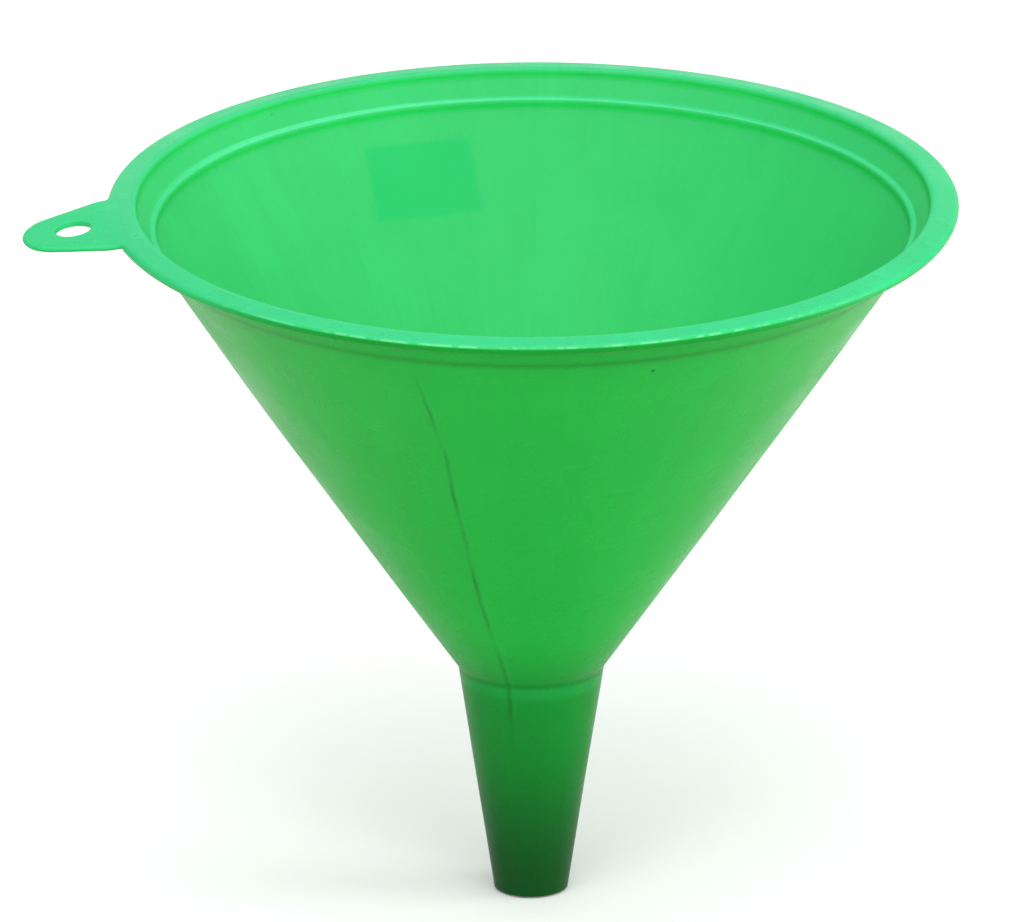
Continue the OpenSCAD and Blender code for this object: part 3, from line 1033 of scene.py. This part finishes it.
    def label_shadow(self):
        """The label behind the wall shows as a deeper patch on the inside."""
        cos_az, sin_az = math.cos(LABEL_AZ), math.sin(LABEL_AZ)
        cos_wall, sin_wall = math.cos(CONE_ANGLE), math.sin(CONE_ANGLE)
        middle = (cone_out(LABEL_Z) * cos_az, cone_out(LABEL_Z) * sin_az, LABEL_Z)
        square_off = (cos_wall * cos_az, cos_wall * sin_az, -sin_wall)
        sideways = (-sin_az, cos_az, 0.0)
        upwards = (sin_wall * cos_az, sin_wall * sin_az, cos_wall)
        offset = self.vector("SUBTRACT", self.at, middle)
        behind = self.ramp(self.math("ABSOLUTE", self.number("DOT_PRODUCT", offset, square_off)), 6.0, 5.0)
        for axis, half in ((sideways, LABEL_W / 2), (upwards, LABEL_H / 2)):
            off = self.math("ABSOLUTE", self.number("DOT_PRODUCT", offset, axis))
            behind = self.product(behind, self.ramp(off, half + 0.5, half - 0.9))
        self.mark(behind, 0.6, LABEL_SHADOW_GREEN)

    def wall_marks(self):
        """Painted shade under the crease, the label's painted shadow, the knit line's darker core, and a
        paler strip beside it, a painted highlight on its low ridge.
        """
        self.mark(self.attribute("thick"), 0.62, CREASE_SHADE_GREEN)
        self.label_shadow()
        self.mark(self.attribute("knit"), 0.72, KNIT_GREEN)
        # A painted highlight: the paler strip stands for light on the knit line's low ridge.
        self.mark(self.attribute("beside_knit"), 0.12, BESIDE_KNIT_GREEN)

    def specks(self):
        """Small dark specks in the pigment, and the one inclusion at the front."""
        cells = self.node("TexVoronoi", {"Vector": self.at, "Scale": 0.085, "Randomness": 1.0}).outputs
        chosen = self.ramp(self.separate(cells["Color"])[0], 0.80, 0.82)
        speck = self.product(self.ramp(cells["Distance"], 0.030, 0.016), chosen)
        inclusion = self.ramp(self.number("DISTANCE", self.at, SPOT), 0.75, 0.35)
        self.mark(self.math("MAXIMUM", speck, inclusion), 0.75, SPECK_GREEN)

    def scratches(self, turn, scale):
        """Thin bent scratches that run one way."""
        bend = self.node("TexNoise", {"Vector": self.at, "Scale": 0.05}).outputs["Color"]
        along = self.mapped(self.vector("ADD", self.at, bend), turn, (scale, scale * 0.035, scale))
        return self.ramp(self.distance(self.noise(along, 1.0, 1.0, 0.5), 0.5), 0.011, 0.002)

    def scuffs(self):
        """Faint fine scratches, in patches."""
        one_way, other_way = self.scratches((0.4, 0.9, 0.3), 1.3), self.scratches((1.7, 0.2, 2.1), 1.0)
        patches = self.ramp(self.noise(self.at, 0.045, 2.0), 0.46, 0.66)
        self.mark(self.product(self.math("MAXIMUM", one_way, other_way), patches), 0.015, SCRATCH_GREEN)

    def surface(self):
        """A satin surface, duller inside, with part of the light let through."""
        dull = self.product(self.ramp(self.noise(self.at, 0.07, 3.0), 0.3, 0.7), 0.10)
        rough = self.total(0.21, dull, self.product(self.inside, 0.26), self.product(self.mottle, 0.05))
        peel = self.noise(self.at, 1.6, 2.0, 0.55)
        bump = self.bump(self.total(self.product(peel, 0.0025), self.product(self.fine_flow, 0.006)), 0.8)
        solid = self.node("BsdfPrincipled", {"Base Color": self.base, "Roughness": rough, "Normal": bump,
                                             "IOR": 1.46, "Specular IOR Level": 0.22})
        through = self.mix(0.5, self.base, THROUGH_GREEN)
        glow = self.node("BsdfTranslucent", {"Color": through, "Normal": bump})
        return self.node("MixShader", {0: 0.35, 1: solid.outputs[0], 2: glow.outputs[0]})


def green_plastic():
    """Translucent green plastic with the marks of its moulding and of some use, and with painted light and
    shade.
    """
    s = Plastic()
    s.faces()
    s.mouth_and_ledge()
    s.rim_edge()
    s.pigment()
    s.spout_shade()
    s.throat_shade_and_glow()
    s.wall_marks()
    s.specks()
    s.scuffs()
    return s.finish(s.surface())


def paper():
    """Blank off-white sticker paper: fibres, faint soiling and a slightly glossy sizing."""
    s = Shader("label_paper")
    place = s.place()
    fibre_a = s.noise(s.mapped(place, (0.3, 0.5, 0.9), (6.0, 0.9, 6.0)), 1.0, 3.0, 0.6, 0.4)
    fibre_b = s.noise(s.mapped(place, (1.1, 1.9, 0.2), (5.0, 0.8, 5.0)), 1.0, 3.0, 0.6, 0.4)
    fibres = s.math("MAXIMUM", fibre_a, fibre_b)
    soil = s.ramp(s.noise(place, 0.16, 4.0, 0.6), 0.45, 0.75)
    base = s.mix(s.ramp(fibres, 0.45, 0.7), rgb(0.80, 0.80, 0.76), rgb(0.88, 0.88, 0.85))
    base = s.mix(s.product(soil, 0.25), base, rgb(0.62, 0.61, 0.54))
    rough = s.total(0.52, s.product(fibres, 0.25))
    bump = s.bump(s.product(fibres, 0.03), 0.7)
    look = {"Base Color": base, "Roughness": rough, "Normal": bump, "IOR": 1.45}
    return s.finish(s.node("BsdfPrincipled", look))


# -------- the pieces

plastic, sticker = green_plastic(), paper()
pieces = [
    (rim_piece("moulded_rim"), "rim_flange", plastic, "green_plastic"),
    (tab_piece("moulded_tab"), "hang_tab", plastic, "green_plastic"),
    (turned("moulded_collar", collar_outer, collar_inner), "collar", plastic, "green_plastic"),
    (turned("moulded_ledge", ledge_outer, ledge_inner), "ledge_ring", plastic, "green_plastic"),
    (turned("moulded_cone", cone_outer, cone_inner), "cone", plastic, "green_plastic"),
    (turned("moulded_throat", throat_outer, throat_inner), "throat_ring", plastic, "green_plastic"),
    (turned("moulded_spout", spout_outer, spout_inner), "spout", plastic, "green_plastic"),
    (label_piece("paper_label"), "label", sticker, "label_paper"),
]
for piece, node, material, slot in pieces:
    piece.data.materials.append(material)
    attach(piece, "root")
    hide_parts(node)


# -------- floor, lights and camera

def studio_floor():
    """A wide pale floor. Seen from below it is clear, so that the underside can be looked at."""
    half, below_tip = 4.0, 0.0004
    corners = [(-half, -half, 0), (half, -half, 0), (half, half, 0), (-half, half, 0)]
    mesh = bpy.data.meshes.new("floor")
    mesh.from_pydata(corners, [], [(0, 1, 2, 3)])
    obj = bpy.data.objects.new("floor", mesh)
    obj.location.z = -below_tip
    bpy.context.scene.collection.objects.link(obj)
    s = Shader("pale_floor")
    tone = s.noise(s.node("TexCoord").outputs["Object"], 3.0, 3.0)
    colour = s.mix(s.ramp(tone, 0.3, 0.7), rgb(0.86, 0.86, 0.86), rgb(0.90, 0.90, 0.90))
    lit = s.node("BsdfDiffuse", {"Color": colour})
    glow = s.node("Emission", {"Color": rgb(1, 1, 1), "Strength": 0.05})
    shader = s.node("AddShader", {0: lit.outputs[0], 1: glow.outputs[0]})
    clear = s.node("BsdfTransparent")
    below = s.node("NewGeometry").outputs["Backfacing"]
    both = s.node("MixShader", {0: below, 1: shader.outputs[0], 2: clear.outputs[0]})
    mesh.materials.append(s.finish(both))


def softbox(name, place, target, size, watts):
    """A rectangular white area light that points at target."""
    lamp = bpy.data.lights.new(name, "AREA")
    lamp.shape = "RECTANGLE"
    lamp.size, lamp.size_y = size
    lamp.energy = watts
    obj = bpy.data.objects.new(name, lamp)
    obj.location = place
    obj.rotation_mode = "QUATERNION"
    obj.rotation_quaternion = (Vector(target) - Vector(place)).to_track_quat("-Z", "Y")
    obj.visible_camera = False
    bpy.context.scene.collection.objects.link(obj)


studio_floor()
softbox("front_above", (0.0, -1.6, 1.9), (0, 0, 0.1), (3.6, 2.2), 68.0)
softbox("overhead", (0.0, 0.35, 2.2), (0, 0, 0.1), (2.4, 2.4), 24.0)
softbox("low_behind", (0.0, 2.4, 0.62), (0, 0, 0.15), (2.4, 0.45), 4.5)
softbox("right_side", (1.9, -0.1, 0.6), (0, 0, 0.08), (1.1, 1.1), 19.0)

world = bpy.data.worlds.new("studio")
bpy.context.scene.world = world
world.use_nodes = True
sky = world.node_tree.nodes["Background"].inputs
sky["Color"].default_value = rgb(1, 1, 1)
sky["Strength"].default_value = 0.42

scene = bpy.context.scene
scene.view_settings.view_transform = "Standard"
scene.cycles.max_bounces = 16
scene.cycles.diffuse_bounces = 10
scene.cycles.glossy_bounces = 4
scene.cycles.transparent_max_bounces = 8

# A long lens far away: the funnel stands almost without perspective
ELEVATION = math.radians(19.54)
DISTANCE = 9.6
FRAME_WIDTH = 0.24002
SENSOR_MM = 36.0
AIM = Vector((-0.00447, 0.0, 0.10578))
camera_data = bpy.data.cameras.new("camera")
camera_data.sensor_width = SENSOR_MM
camera_data.lens = SENSOR_MM * DISTANCE / FRAME_WIDTH
camera_data.clip_start, camera_data.clip_end = 0.1, 50.0
camera = bpy.data.objects.new("camera", camera_data)
away = Vector((0, -math.cos(ELEVATION), math.sin(ELEVATION)))
camera.location = AIM + away * DISTANCE
camera.rotation_mode = "QUATERNION"
camera.rotation_quaternion = (-away).to_track_quat("-Z", "Y")
scene.collection.objects.link(camera)
scene.camera = camera
